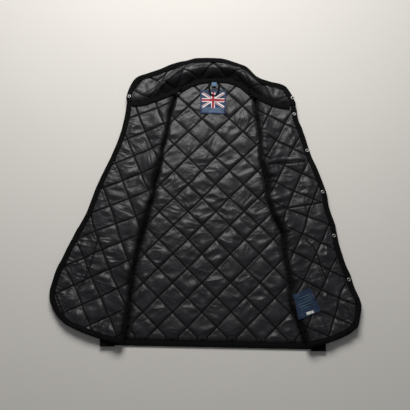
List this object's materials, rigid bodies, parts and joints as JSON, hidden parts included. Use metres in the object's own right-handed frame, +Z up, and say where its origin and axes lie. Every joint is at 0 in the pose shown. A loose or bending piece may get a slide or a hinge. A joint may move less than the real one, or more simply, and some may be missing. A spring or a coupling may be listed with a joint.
{
  "type": "padded vest, laid open",
  "caption": "Diamond-quilted padded vest with a stand collar and bound edges, lying on its back with both fronts folded open.",
  "frame": {"origin": "middle of the vest's footprint, on the surface that it lies on", "axes": "+Z up, +Y towards the collar, +X towards the wearer's left side"},
  "size_m": [0.7593, 0.7605, 0.0259],
  "materials": {
    "quilted_lining": "satin",
    "ribbed_braid": "matte",
    "woven_label": "matte",
    "size_tab": "matte",
    "printed_patch": "matte",
    "snap_metal": "polished"
  },
  "bodies": {
    "root": {"back": "quilted_lining", "front_right": "quilted_lining", "front_left": "quilted_lining", "collar": "quilted_lining", "pocket_welt": "quilted_lining", "back_hem_binding": "ribbed_braid", "front_binding_right": "ribbed_braid", "front_binding_left": "ribbed_braid", "collar_binding": "ribbed_braid", "neck_tape": "ribbed_braid", "hanger_loop": "ribbed_braid", "side_tab_right": "ribbed_braid", "side_tab_left": "ribbed_braid", "neck_label": "woven_label", "care_label": "woven_label", "size_tab": "size_tab", "care_patch": "printed_patch", "snap_collar_right": "snap_metal", "snap_collar_left": "snap_metal", "snap_1": "snap_metal", "snap_2": "snap_metal", "snap_3": "snap_metal", "snap_4": "snap_metal", "snap_5": "snap_metal"}
  },
  "joints": []
}
